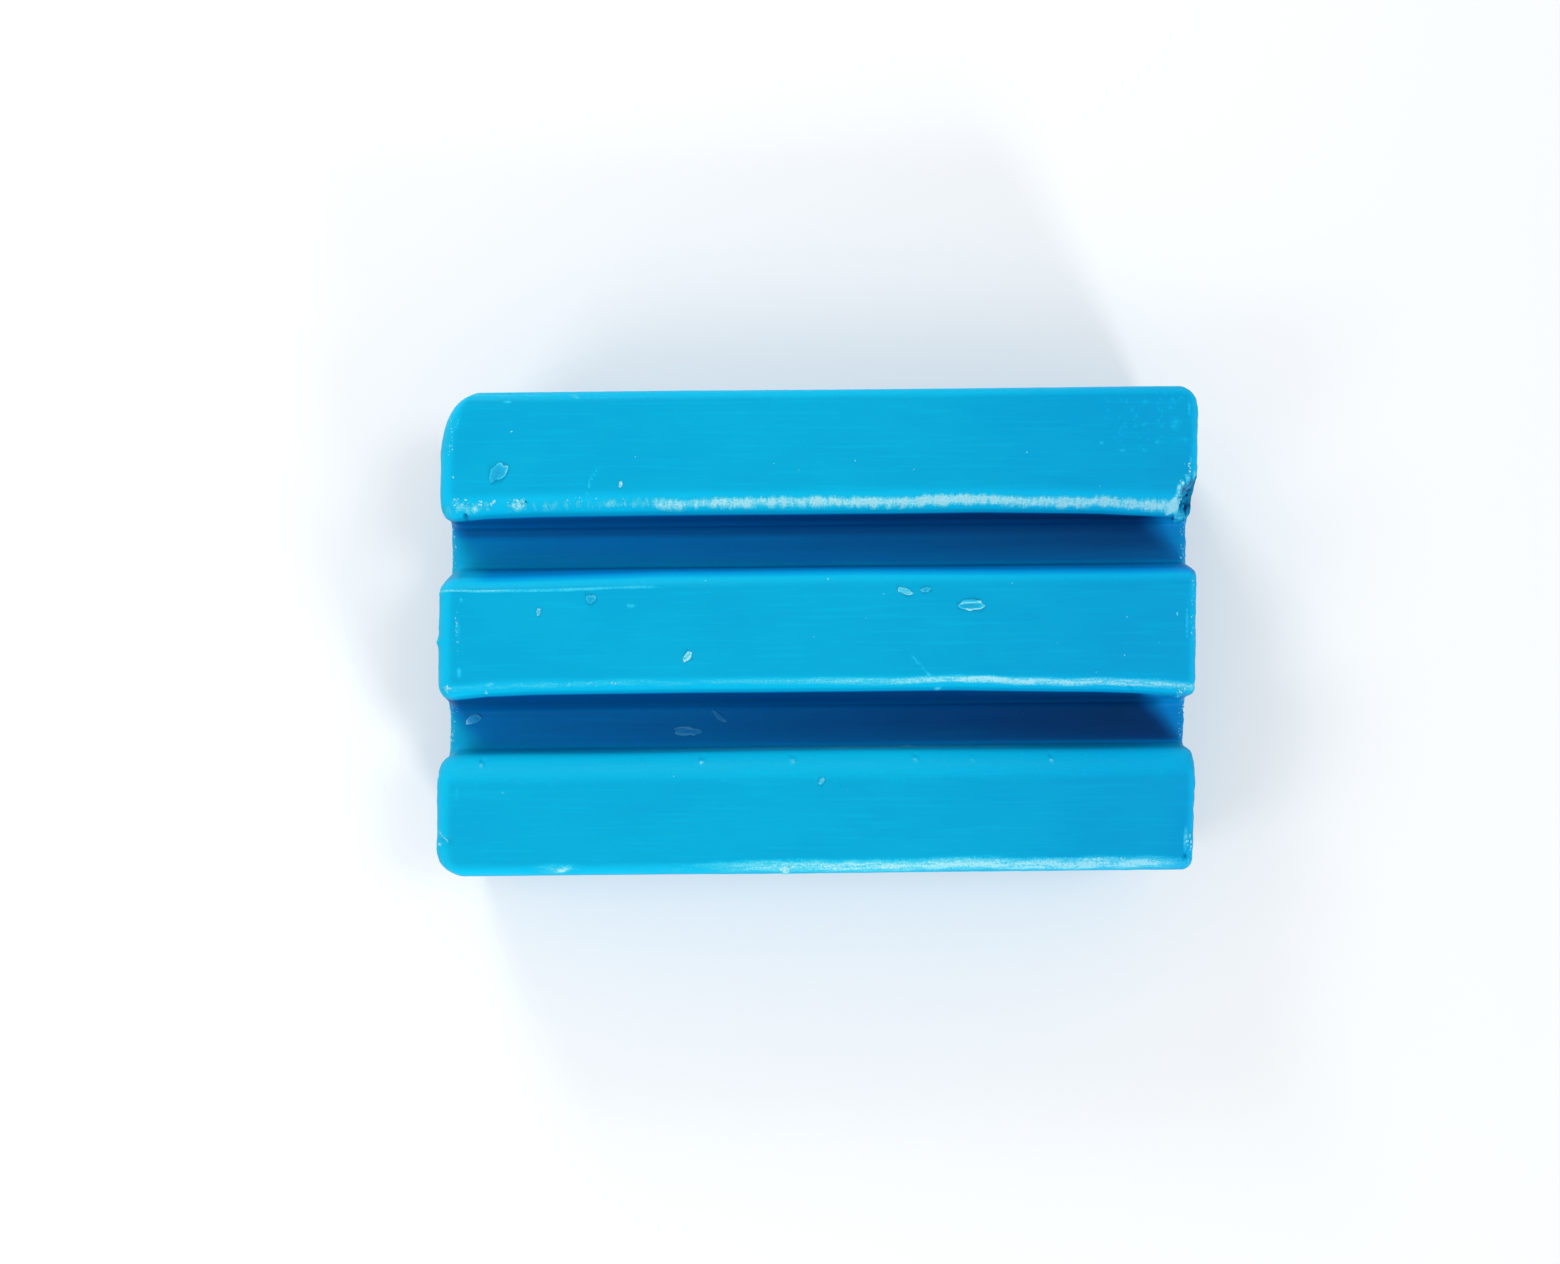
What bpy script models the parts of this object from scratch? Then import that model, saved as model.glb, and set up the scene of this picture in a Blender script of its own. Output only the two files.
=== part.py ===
"""A rectangular block of blue modelling compound, scored along its upper face.

The block is one extruded solid. Two open grooves run from end to end of its upper
face and divide it into three ribs. Small flakes of the same compound lie loose on
the ribs and in the front groove.

Metres. X runs along the ribs, Y across them, and Z up, with the origin at the middle
of the underside.
"""

import math
import random

import bmesh
import bpy
from mathutils import Matrix, Vector

# The block
LENGTH = 0.064  # along the tops of the ribs
END_FLARE = 0.0006  # how far each end leans out from the top down to the underside
WIDTH = 0.041
HEIGHT = 0.015
RIB_PITCH = 0.01586  # from the middle of one rib to the middle of the next
GROOVE_DEPTH = 0.0059
GROOVE_FLOOR_WIDTH = 0.0034
GROOVE_DRAFT = math.radians(10)
FLOOR_Z = HEIGHT - GROOVE_DEPTH

# How far each kind of edge is cut back by its rounding
OUTER_EDGE = 0.00125
GROOVE_EDGE = 0.00165
END_EDGE = 0.0011
FLOOR_FILLET = 0.0004
BASE_EDGE = 0.0006
BEVEL_SEGMENTS = 5

# The cutters stand this far past the block
CUTTER_OVERHANG = 0.004
FACE_TOLERANCE = 1e-5

# The loose flakes
FLAKE_THICKNESS = 0.00024
FLAKE_GAP = 0.00005  # between a flake and what it lies on
FLAKE_RAGGEDNESS = 0.16
FLAKE_SEED = 7

BLUE = (0.005, 0.37, 0.69, 1.0)
PALE_BLUE = (0.11, 0.62, 0.86, 1.0)
WAXY_ROUGHNESS = 0.42
CHALKY_ROUGHNESS = 0.7

# name, x, y, the height it lies at, length, width, turn about Z in degrees
FLAKES = (
    ("back_rib_flake_1", -0.0266, 0.0135, HEIGHT, 0.0021, 0.0013, 52),
    ("back_rib_flake_2", -0.0163, 0.0124, HEIGHT, 0.0006, 0.0004, 80),
    ("middle_rib_flake_1", -0.0233, 0.0018, HEIGHT, 0.0006, 0.0004, 80),
    ("middle_rib_flake_2", -0.0189, 0.0028, HEIGHT, 0.0009, 0.0007, 20),
    ("middle_rib_flake_3", -0.0108, -0.0021, HEIGHT, 0.0011, 0.0006, 55),
    ("middle_rib_flake_4", 0.0075, 0.0032, HEIGHT, 0.0012, 0.0006, 165),
    ("middle_rib_flake_5", 0.0092, 0.0033, HEIGHT, 0.0009, 0.0004, 15),
    ("middle_rib_flake_6", 0.0130, 0.0020, HEIGHT, 0.0022, 0.0010, 4),
    ("front_rib_flake_1", 0.0003, -0.0127, HEIGHT, 0.0007, 0.0005, 60),
    ("groove_flake_1", -0.0303, -0.0070, FLOOR_Z, 0.0014, 0.0008, 32),
    ("groove_flake_2", -0.0116, -0.0083, FLOOR_Z, 0.0023, 0.0009, 172),
    ("groove_flake_3", -0.0087, -0.0070, FLOOR_Z, 0.0015, 0.0005, 143),
)


def clear_scene():
    for obj in list(bpy.data.objects):
        bpy.data.objects.remove(obj)


def new_collection(name):
    collection = bpy.data.collections.new(name)
    bpy.context.scene.collection.children.link(collection)
    return collection


def new_material(name, colour, roughness):
    material = bpy.data.materials.new(name)
    material.use_nodes = True
    shader = material.node_tree.nodes["Principled BSDF"]
    shader.inputs["Base Color"].default_value = colour
    shader.inputs["Roughness"].default_value = roughness
    shader.inputs["Metallic"].default_value = 0.0
    return material


def new_object(name, bm, collection):
    mesh = bpy.data.meshes.new(name)
    bm.to_mesh(mesh)
    bm.free()
    obj = bpy.data.objects.new(name, mesh)
    collection.objects.link(obj)
    return obj


def box_bmesh(length, width, height):
    """A box that stands on Z = 0, centred on X and Y."""
    bm = bmesh.new()
    size = Matrix.Diagonal((length, width, height, 1))
    bmesh.ops.create_cube(bm, size=1, matrix=Matrix.Translation((0, 0, height / 2)) @ size)
    return bm


def groove_cutter(name, y, collection):
    """A bar with sloping sides, which cuts one groove."""
    height = GROOVE_DEPTH + CUTTER_OVERHANG
    bm = box_bmesh(LENGTH + 2 * CUTTER_OVERHANG, GROOVE_FLOOR_WIDTH, height)
    flare = height * math.tan(GROOVE_DRAFT)
    for vert in bm.verts:
        if vert.co.z > height / 2:
            vert.co.y += math.copysign(flare, vert.co.y)
    cutter = new_object(name, bm, collection)
    cutter.location = (0, y, FLOOR_Z)
    cutter.hide_render = True
    cutter.display_type = "WIRE"
    return cutter


def rounding(edge):
    """How far the rounding of an edge of the grooved box cuts back, from where it lies."""
    first, second = (vert.co for vert in edge.verts)
    runs_along_x = abs(first.x - second.x) > LENGTH / 2
    if max(first.z, second.z) < FACE_TOLERANCE:
        return BASE_EDGE
    if not runs_along_x:
        return END_EDGE
    if first.z < HEIGHT - FACE_TOLERANCE:
        return FLOOR_FILLET
    return OUTER_EDGE if abs(first.y) > WIDTH / 2 - FACE_TOLERANCE else GROOVE_EDGE


def weigh_edges(mesh):
    """Gives each edge the bevel weight of its rounding, as a share of the groove edges'."""
    bm = bmesh.new()
    bm.from_mesh(mesh)
    bmesh.ops.dissolve_limit(
        bm, angle_limit=math.radians(1), verts=bm.verts, edges=bm.edges
    )
    weight = bm.edges.layers.float.new("bevel_weight_edge")
    for edge in bm.edges:
        edge[weight] = rounding(edge) / GROOVE_EDGE
    bm.to_mesh(mesh)
    bm.free()


def grooved_block(collection, cutters, material):
    """The box with leaning ends and two grooves cut, and every edge rounded."""
    bm = box_bmesh(LENGTH, WIDTH, HEIGHT)
    for vert in bm.verts:
        if vert.co.z < HEIGHT / 2:
            vert.co.x += math.copysign(END_FLARE, vert.co.x)
    box = new_object("uncut_block", bm, collection)
    for side, place in ((1, "back"), (-1, "front")):
        cutter = groove_cutter(f"{place}_groove_cutter", side * RIB_PITCH / 2, cutters)
        cut = box.modifiers.new(f"{place}_groove", "BOOLEAN")
        cut.operation = "DIFFERENCE"
        cut.object = cutter
    bpy.context.view_layer.update()
    evaluated = box.evaluated_get(bpy.context.evaluated_depsgraph_get())
    mesh = bpy.data.meshes.new_from_object(evaluated)
    bpy.data.objects.remove(box)

    weigh_edges(mesh)
    mesh.shade_smooth()
    mesh.materials.clear()
    mesh.materials.append(material)
    block = bpy.data.objects.new("ribbed_block", mesh)
    collection.objects.link(block)
    bevel = block.modifiers.new("rounded_edges", "BEVEL")
    bevel.limit_method = "WEIGHT"
    bevel.width = GROOVE_EDGE
    bevel.segments = BEVEL_SEGMENTS
    return block


def loose_flake(row, collection, material, rng):
    """A thin ragged chip, lying flat."""
    name, x, y, lies_at, length, width, turn = row
    bm = bmesh.new()
    bmesh.ops.create_icosphere(bm, subdivisions=2, radius=0.5)
    for vert in bm.verts:
        swell = 1 + FLAKE_RAGGEDNESS * rng.uniform(-1, 1)
        vert.co = Vector((vert.co.x * swell, vert.co.y * swell, vert.co.z))
    size = Matrix.Diagonal((length, width, FLAKE_THICKNESS, 1))
    bmesh.ops.transform(bm, matrix=size, verts=bm.verts)
    flake = new_object(name, bm, collection)
    flake.data.materials.append(material)
    flake.location = (x, y, lies_at + FLAKE_GAP + FLAKE_THICKNESS / 2)
    flake.rotation_euler.z = math.radians(turn)
    return flake


def build():
    clear_scene()
    parts = new_collection("scored_modelling_block")
    cutters = new_collection("cutters")
    blue_wax = new_material("blue_wax", BLUE, WAXY_ROUGHNESS)
    pale_wax = new_material("pale_wax", PALE_BLUE, CHALKY_ROUGHNESS)
    grooved_block(parts, cutters, blue_wax)
    rng = random.Random(FLAKE_SEED)
    for row in FLAKES:
        loose_flake(row, parts, pale_wax, rng)


build()
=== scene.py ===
"""The looks of a scored block of blue modelling compound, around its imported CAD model.

Shapes are worked out in millimetres with numpy, in the CAD's frame (X along the ribs,
Y across them, Z up from the underside), and go to metres when a mesh is made.
"""

import math
import random

import bmesh
import bpy
import numpy as np
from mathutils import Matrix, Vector
from mathutils.bvhtree import BVHTree
from mathutils.geometry import delaunay_2d_cdt


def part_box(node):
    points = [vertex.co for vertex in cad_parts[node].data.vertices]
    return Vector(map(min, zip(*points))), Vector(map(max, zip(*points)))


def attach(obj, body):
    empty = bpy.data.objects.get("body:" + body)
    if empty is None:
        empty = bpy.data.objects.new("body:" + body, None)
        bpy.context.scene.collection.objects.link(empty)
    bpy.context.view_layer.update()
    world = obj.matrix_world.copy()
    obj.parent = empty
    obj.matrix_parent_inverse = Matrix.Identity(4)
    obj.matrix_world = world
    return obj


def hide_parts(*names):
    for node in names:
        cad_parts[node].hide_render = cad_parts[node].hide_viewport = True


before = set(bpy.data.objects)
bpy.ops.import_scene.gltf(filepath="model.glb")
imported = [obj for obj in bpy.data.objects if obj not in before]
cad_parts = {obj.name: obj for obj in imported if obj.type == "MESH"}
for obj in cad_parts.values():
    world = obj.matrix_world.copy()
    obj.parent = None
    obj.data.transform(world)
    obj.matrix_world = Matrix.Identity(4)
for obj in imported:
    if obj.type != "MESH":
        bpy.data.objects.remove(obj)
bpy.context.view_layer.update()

MM = 0.001
BODY = "root"

# The block's sizes, in mm. Its length, width and height come from the CAD node.
BLOCK_HIGH = np.array(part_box("ribbed_block")[1]) / MM
CAD_FLARE = 0.6
HALF_LENGTH = BLOCK_HIGH[0] - CAD_FLARE
HALF_WIDTH = BLOCK_HIGH[1]
HEIGHT = BLOCK_HIGH[2]
END_FLARE = 0.85  # how far the ends swell out below their tops
END_SKEW = 0.02  # how far the ends are out of square, in mm to the mm
BASE_DRAW_IN = 0.35  # how far the ends draw in again at the underside
BASE_DRAW_IN_HEIGHT = 3.5
END_REACH = 7.0  # how far from the ends their shaping reaches
END_WAVES = 0.09  # how high the ends' waves are
END_RAGGEDNESS = 0.05
GROOVE_DEPTH = 5.9
FLOOR_HALF = 1.7
FLOOR_Z = HEIGHT - GROOVE_DEPTH

# Y of each groove's middle, then the slope of its wall in degrees and the cut-back of its
# upper edge, for the back wall and for the front wall
GROOVES = (
    (7.93, (10, 1.65), (10, 1.7)),
    (-7.93, (15.4, 1.05), (10, 2.6)),
)

# How far the grooves' lips are dragged forwards (below 0, backwards): y of the lip, and
# (x, mm) along it
LIP_DRAGS = (
    (10.7, ((-32, 0.9), (-30.5, 0.6), (-28, 0.3), (-24, 0.15), (14, 0.13), (20, 0.3),
            (24, 0.42), (27, 0.65), (29.5, 0.85), (32, 0.95))),
    (5.2, ((-32, 0.55), (-26, 0.5), (-20, 0.35), (-12, 0.2), (4, 0.15), (16, 0.25), (32, 0.25))),
    (-4.6, ((-32, 0.75), (-30.5, 0.5), (-28, 0.2), (-24, 0.05), (-10, 0), (12, 0), (20, 0.22),
            (24, 0.3), (27, 0.45), (29.5, 0.65), (32, 0.8))),
    (-10.7, ((-32, -0.1), (-20, -0.12), (-5, -0.28), (8, -0.28), (20, -0.15), (32, -0.1))),
)
LIP_DRAG_REACH = 2.6  # how far from a lip its drag is felt

# The curves that draw in the corners of each end: y where the curve starts, its length, how
# far in it ends, and its power
LEFT_CORNERS = ((14.2, 6.3, 2.1, 3), (-18.2, 2.3, 1.0, 1.6))
RIGHT_CORNERS = ((18.6, 1.9, 0.9, 1.6), (-16.0, 4.5, 0.2, 1))
LEFT_TOP_INSET = 0.16
RIGHT_TOP_INSET = 0.06

# The burr that stands out of the left end of the middle rib: y, half the width, length
BURR = (-0.6, 0.5, 0.2)

# How far the other edges are cut back
OUTER_EDGE = 1.25
FLOOR_FILLET = 0.4
BASE_EDGE = 0.6
LEFT_END_EDGE = 1.5
RIGHT_END_EDGE = 0.75
SHARPEST_EDGE = 0.12

# Mesh steps
TOP_STEP = 0.32
WALL_STEP = 0.45
ARC_STEP = 0.17
FLOOR_STEP = 0.5
SIDE_STEP = 0.9
BASE_STEP = 6.0
STATION_STEP = 0.2
END_STATION_STEP = 0.12
END_ZONE = 3.0
CAP_STEP = 0.42
END_ROWS = 7

# Bands worn pale along the upper edges: y of the middle, half the width, how comb-like
# the marks are, and (x, strength) along the band
WORN_BANDS = (
    (11.0, 0.58, 0.9, ((-32, 0.2), (-30, 0.3), (-24, 0.3), (-21, 0.25), (-15, 0.3), (-12.5, 0.75),
                       (0, 0.85), (12, 0.95), (29, 0.9), (30.5, 0.8), (32, 0.2))),
    (3.85, 0.24, 0.1, ((-31, 0.85), (-29, 0.7), (-24, 0.6), (-15, 0.45), (-12, 0.1), (32, 0.05))),
    (-4.28, 0.42, 0.1, ((-32, 0.3), (-24, 0.4), (-16, 0.4), (-10, 0.35), (-4, 0.5), (3, 0.7),
                        (14, 1.1), (22, 1.15), (32, 0.9))),
    (-11.5, 0.8, 0.1, ((-32, 0.12), (-14, 0.22), (20, 0.22), (32, 0.1))),
    (-19.85, 0.72, 0.05, ((-32, 0.05), (-24, 0.12), (-22, 0.5), (-19, 0.1), (-10, 0.3),
                          (-4, 0.85), (8, 1.1), (28, 1.15), (30, 0.7), (31.5, 0.3))),
    (20.05, 0.3, 0.1, ((-31, 0.5), (-24, 0.4), (-12, 0.15), (15, 0.12), (32, 0.3))),
)
BAND_ROUGHNESS = 0.075

# Unevenness of the whole surface: its height, the size of its lumps along X, Y and Z, seed
UNEVENNESS = ((0.05, (13, 6, 6), 1), (0.012, (7, 0.9, 0.9), 21), (0.006, (0.9, 0.9, 0.9), 31))
END_UNEVENNESS = 0.045
FLOOR_UNEVENNESS = 0.02

# Pale smears and dark spots: x, y, half the length, half the width, turn in degrees,
# paleness (below 0 darkens)
SMEARS = (
    (-8.9, -6.9, 0.95, 0.25, -42, 0.5),
    (-11.9, -8.35, 1.35, 0.55, 5, 0.4),
    (8.1, -9.75, 0.9, 0.12, 0, 0.6),
    (-30.9, -6.8, 0.8, 0.4, 25, 0.3),
    (-30.2, 0.4, 0.4, 1.9, 0, 0.22),
    (-31.2, 16.0, 0.9, 2.6, 0, 0.2),
    (-30.1, -3.1, 0.35, 0.6, 0, 0.5),
    (-30.0, 2.8, 0.25, 0.4, 0, 0.4),
    (-27.4, -4.1, 0.65, 0.2, 15, 0.55),
    (-30.9, 17.6, 0.3, 1.1, -12, 0.4),
    (-26.3, 19.4, 0.75, 0.22, 0, 0.55),
    (-20.4, 19.8, 0.65, 0.3, -25, 0.5),
    (15.4, 20.1, 0.35, 0.15, 0, 0.6),
    (-30.2, -13.4, 0.4, 1.2, 0, 0.22),
    (-21.1, -19.9, 1.1, 0.3, 18, 0.5),
    (31.2, 0.5, 0.3, 3.2, 0, 0.35),
    (31.4, 14.0, 0.25, 0.7, 0, 0.45),
    (30.3, 10.9, 0.9, 0.35, 20, 0.7),
    (-28.9, 10.9, 1.1, 0.3, 0, 0.4),
    (-25.3, 10.95, 0.9, 0.35, 5, 0.75),
    (-30.2, 11.2, 0.5, 0.45, 60, 0.55),
    (-17.5, 11.0, 1.9, 0.35, 0, 0.35),
    (23.8, 15.5, 0.35, 0.3, 0, 0.4),
    (28.5, 15.6, 0.4, 0.3, 0, 0.5),
    (25.4, 14.9, 0.9, 0.15, -12, 0.35),
    (27.5, 14.9, 0.8, 0.15, 25, 0.35),
    (30.0, 17.1, 1.1, 0.9, 40, 0.3),
    (31.2, 18.3, 0.3, 1.2, 0, 0.35),
    (31.3, -17.9, 0.3, 1.7, 0, 0.85),
    (-31.9, -5.1, 0.4, 0.7, 0, 0.6),
    (32.3, 8.0, 0.5, 1.9, 0, 0.5),
    (32.3, -7.6, 0.5, 1.9, 0, 0.5),
    (-32.6, -7.6, 0.45, 1.9, 0, 0.35),
    (29.9, -14.0, 1.4, 3.4, 0, -0.16),
    # Painted light: a pale strip along the foot of the front groove's front wall, which lies in
    # shade
    (2.0, -9.9, 36.0, 0.45, 0, 0.5),
    (14.2, -4.1, 3.2, 0.2, 1, 0.35),
    (13.6, -19.1, 5.0, 0.18, 2, 0.35),
    (23.0, -19.4, 5.0, 0.2, 1, 0.4),
)

# Fine scratches: start, end, half the width, paleness
SCRATCHES = (
    ((-19.4, 11.6), (-19.1, 12.9), 0.07, 0.35),
    ((-19.1, 12.9), (-18.3, 13.9), 0.07, 0.35),
    ((8.0, -2.2), (9.6, -3.9), 0.08, 0.35),
    ((-15.9, 2.2), (-15.3, 2.25), 0.08, 0.4),
    ((-31.7, -16.6), (-31.2, -17.4), 0.09, 0.8),
    ((-31.2, -17.4), (-31.8, -17.8), 0.09, 0.8),
    ((11.8, 1.95), (13.4, 2.1), 0.06, 0.5),
)

# Dents and lumps on the ribs: x, y, half the length, half the width, turn, height (below 0
# for a dent), paleness
DENTS = (
    (-29.8, 10.5, 0.2, 0.3, 0, -0.55, -0.8),
    (-24.6, 11.2, 0.12, 0.12, 0, -0.3, -0.8),
    (10.3, -4.9, 0.5, 0.2, 5, 0.12, 0.9),
    (18.1, -4.3, 0.4, 0.25, 0, 0.08, 0.8),
    (15.9, -4.2, 0.3, 0.2, 0, 0.08, 0.7),
    (26.4, -4.7, 0.4, 0.22, 0, -0.22, -0.5),
    (30.6, -5.2, 0.42, 0.35, 0, 0.25, 0.9),
    (-31.2, -17.3, 0.8, 0.32, 0, -0.4, -0.2),
    (-2.4, -20.1, 0.6, 0.5, 0, 0.28, 0.9),
    (-21.2, -20.0, 0.9, 0.4, 10, 0.1, 0.3),
    (31.3, -19.3, 0.3, 0.25, 0, -0.3, -0.5),
    (-2.5, 17.5, 0.14, 0.14, 0, -0.06, -0.4),
)
TEARS_X = (-28.2, -14.5, -9.5, -7.2, -2.0, 3.5, 8.6, 13.4, 19.9, 25.1)
TEARS_Y = -10.75
TEAR_DEPTH = 0.24
TEAR_LIP = 0.1  # how far the wax stands up in front of a tear

# The corner torn from the back rib's right end: the tear's line as (y, x) and its depth
TORN_LINE = ((9.0, 29.7), (10.2, 30.3), (11.0, 30.6), (11.9, 30.8), (12.75, 31.75), (13.2, 32.6))
TORN_DEPTH = 4.6
TORN_PALENESS = 0.35
RIM_PALENESS = 1.1

# Small pits darkened with painted shade: x, y, half the length, half the width, turn
PIT_SHADES = (
    (-29.75, 10.5, 0.3, 0.42, -20),
    (-24.6, 11.2, 0.18, 0.18, 0),
    (31.35, -19.3, 0.22, 0.22, 0),
)

# Painted shade in the grooves, where shade falls. For each groove, how dark its floor is at the
# left, and its front wall; then, at the left and at the right, how dark the foot of its back wall
# and the strip of floor beside it are, and how much of the floor's darkness is gone near the front
# wall
GROOVE_SHADES = (
    (0.36, 0.42, (0.47, 0.82), (0.72, 0.9), (0.25, 0.25)),
    (0.55, 0.0, (0.62, 0.8), (0.62, 0.8), (0.25, 0.08)),
)
# How the painted shade changes from left to right and up the back walls
FLOOR_DARKENING = 0.48  # how much darker the floors get from left to right
WALL_DARKENING = 0.28  # how much darker the back walls get from foot to top

# At the left and the right end, where light comes in at a groove's open end: how far in from
# the end the painted shade starts, how far that slants over 3 mm across the groove, and from where
# to where it fades in around that
OPEN_ENDS = ((1.8, -2.2, -1.1, 1.0), (1.5, 2.5, -1.0, 1.4))
# How much painted shade is left beyond the open ends, how far below the lips it starts, and how far
# across
OPEN_END_SHADES = (0.12, 0.43)  # how much of the darkening is left beyond that
WALL_SHADE_DROP = 0.5  # how far below the lips' roundings the darkening starts
GROOVE_SHADE_HALF = 3.15  # how far from a groove's middle it is darkened

# Painted shade on the ribs: how much they darken towards the right end, and how much more the front
# rib's corner
TOP_DARKENING = 0.14
CORNER_DARKENING = 0.06

# Loose crumbs: x, y, spread along x and y, how many, and their size
CRUMBS = (
    (-28.9, 11.05, 0.8, 0.35, 16, 0.17),
    (-26.6, 11.0, 1.0, 0.3, 12, 0.16),
    (-24.9, 11.0, 0.45, 0.3, 22, 0.2),
    (-30.2, 11.1, 0.35, 0.5, 12, 0.16),
    (-17.8, 11.25, 3.4, 0.2, 16, 0.13),
    (-31.2, -4.7, 0.4, 0.35, 12, 0.17),
    (-28.0, -4.9, 0.15, 0.12, 4, 0.22),
    (-20.2, -4.3, 3.4, 0.2, 16, 0.13),
    (30.9, 11.0, 0.35, 1.3, 26, 0.19),
    (31.3, 13.2, 0.25, 0.5, 8, 0.16),
    (30.7, -5.2, 0.35, 0.3, 12, 0.2),
    (31.2, -18.6, 0.3, 1.2, 14, 0.16),
    (-31.9, -5.9, 0.3, 0.5, 10, 0.15),
    (32.2, -7.8, 0.3, 1.9, 34, 0.15),
    (32.5, 8.0, 0.3, 1.9, 40, 0.16),
    (-32.4, -7.8, 0.3, 1.9, 30, 0.15),
    (-32.1, 8.0, 0.3, 1.9, 20, 0.13),
    (-2.4, -20.0, 0.4, 0.3, 8, 0.18),
    (5.0, 0.0, 24.0, 17.0, 46, 0.09),
    (-30.2, 0.3, 0.12, 1.9, 18, 0.1),
    (-30.6, 16.6, 0.2, 2.4, 18, 0.1),
    (31.6, 1.5, 0.15, 2.6, 16, 0.1),
    (-30.35, 13.1, 0.05, 0.05, 2, 0.16),
    (-25.4, 16.9, 0.05, 0.05, 1, 0.16),
    (-1.3, 13.5, 0.05, 0.05, 1, 0.14),
    (30.3, 1.1, 0.1, 0.1, 3, 0.14),
    (28.7, -1.4, 0.1, 0.1, 2, 0.12),
    (23.5, -3.7, 0.1, 0.1, 3, 0.13),
    (-26.4, -13.4, 0.1, 0.1, 2, 0.15),
    (20.0, -19.6, 8.0, 0.35, 30, 0.13),
)

FLAKE_RINGS = 7
FLAKE_SPOKES = 30
FLAKE_THICKNESS = 0.08
FLAKE_GAP = 0.01  # between a flake and what it lies on
FLAKE_SETTLING = 0.2  # how far a flake follows the ups and downs that it lies on
STRIPED_LENGTH = 2  # longer flakes have pale stripes along them

# Each loose flake, at its node's place: the node, length and width in mm, turn in degrees,
# how strongly its rim curls up, and how pale its middle is
FLAKES = (
    ("back_rib_flake_1", 1.95, 1.1, 52, 0.9, 0.0),
    ("back_rib_flake_2", 0.5, 0.34, 80, 0.1, 0.9),
    ("middle_rib_flake_1", 0.6, 0.36, 80, 0.3, 0.5),
    ("middle_rib_flake_2", 0.85, 0.65, 20, 0.8, 0.05),
    ("middle_rib_flake_3", 1.1, 0.5, 55, 0.3, 0.8),
    ("middle_rib_flake_4", 1.2, 0.55, 165, 0.5, 0.45),
    ("middle_rib_flake_5", 0.9, 0.36, 15, 0.5, 0.2),
    ("middle_rib_flake_6", 2.1, 0.95, 4, 0.5, 0.0),
    ("front_rib_flake_1", 0.6, 0.4, 60, 0.4, 0.5),
    ("groove_flake_1", 1.4, 0.75, 32, 0.4, 0.4),
    ("groove_flake_2", 2.3, 0.85, 172, 0.1, 0.3),
    ("groove_flake_3", 1.5, 0.42, 143, 0.1, 0.35),
)
SEED = 5  # for the flakes' and the crumbs' shapes and the crumbs' places


# ---------------------------------------------------------------- numbers and noise


def smooth(low, high, value):
    """A smooth step from 0 at low to 1 at high. Low may be the larger of the two."""
    t = np.clip((value - low) / (high - low), 0, 1)
    return t * t * (3 - 2 * t)


def falloff(value):
    """1 at 0, falling smoothly to 0 at 1 and beyond."""
    return 1 - smooth(0, 1, np.abs(value))


def lattice(ix, iy, iz, seed):
    """A repeatable random number from -1 to 1 for each lattice point."""
    n = (ix * 374761393 + iy * 668265263 + iz * 1274126177 + seed * 974634777) & 0xFFFFFFFF
    n = ((n ^ (n >> 13)) * 1103515245) & 0xFFFFFFFF
    n = ((n ^ (n >> 16)) * 668265263) & 0xFFFFFFFF
    return (n ^ (n >> 15)) / 2147483648.0 - 1.0


def noise(points, cell, seed):
    """Smooth noise from -1 to 1, with a lattice of the given cell in mm."""
    q = points / np.asarray(cell, float)
    base = np.floor(q).astype(np.int64)
    f = q - base
    f = f * f * (3 - 2 * f)
    total = np.zeros(len(points))
    for corner in range(8):
        step = np.array([corner & 1, corner >> 1 & 1, corner >> 2 & 1])
        weight = np.prod(np.where(step, f, 1 - f), axis=1)
        at = base + step
        total += weight * lattice(at[:, 0], at[:, 1], at[:, 2], seed)
    return total


def layered_noise(points, cell, seed, layers=3):
    """Noise of several sizes, each half as large and half as strong as the last."""
    total = np.zeros(len(points))
    for layer in range(layers):
        total += noise(points, np.asarray(cell, float) / 2**layer, seed + layer) / 2**layer
    return total / (2 - 0.5 ** (layers - 1))


def along_axes(x, y, turn):
    """Distances along the axes of a mark that is turned by an angle in degrees."""
    c, s = math.cos(math.radians(turn)), math.sin(math.radians(turn))
    return x * c + y * s, -x * s + y * c


def patch(x, y, row):
    """How much each point lies on an oval mark, from 0 to 1."""
    along, across = along_axes(x - row[0], y - row[1], row[4])
    return falloff(np.hypot(along / row[2], across / row[3]))


# ---------------------------------------------------------------- the block's section


def unit(vector):
    return vector / np.linalg.norm(vector)


def section_corners():
    """The sharp corners of the section, counter-clockwise seen from +X, as
    (y, z, cut-back, step of the straight stretch after it)."""
    corners = [
        (HALF_WIDTH, 0, BASE_EDGE, SIDE_STEP),
        (HALF_WIDTH, HEIGHT, OUTER_EDGE, TOP_STEP),
    ]
    for middle, (back_slope, back_cut), (front_slope, front_cut) in GROOVES:
        back = FLOOR_HALF + GROOVE_DEPTH * math.tan(math.radians(back_slope))
        front = FLOOR_HALF + GROOVE_DEPTH * math.tan(math.radians(front_slope))
        corners += [
            (middle + back, HEIGHT, back_cut, WALL_STEP),
            (middle + FLOOR_HALF, FLOOR_Z, FLOOR_FILLET, FLOOR_STEP),
            (middle - FLOOR_HALF, FLOOR_Z, FLOOR_FILLET, WALL_STEP),
            (middle - front, HEIGHT, front_cut, TOP_STEP),
        ]
    corners += [
        (-HALF_WIDTH, HEIGHT, OUTER_EDGE, SIDE_STEP),
        (-HALF_WIDTH, 0, BASE_EDGE, BASE_STEP),
    ]
    return corners


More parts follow.
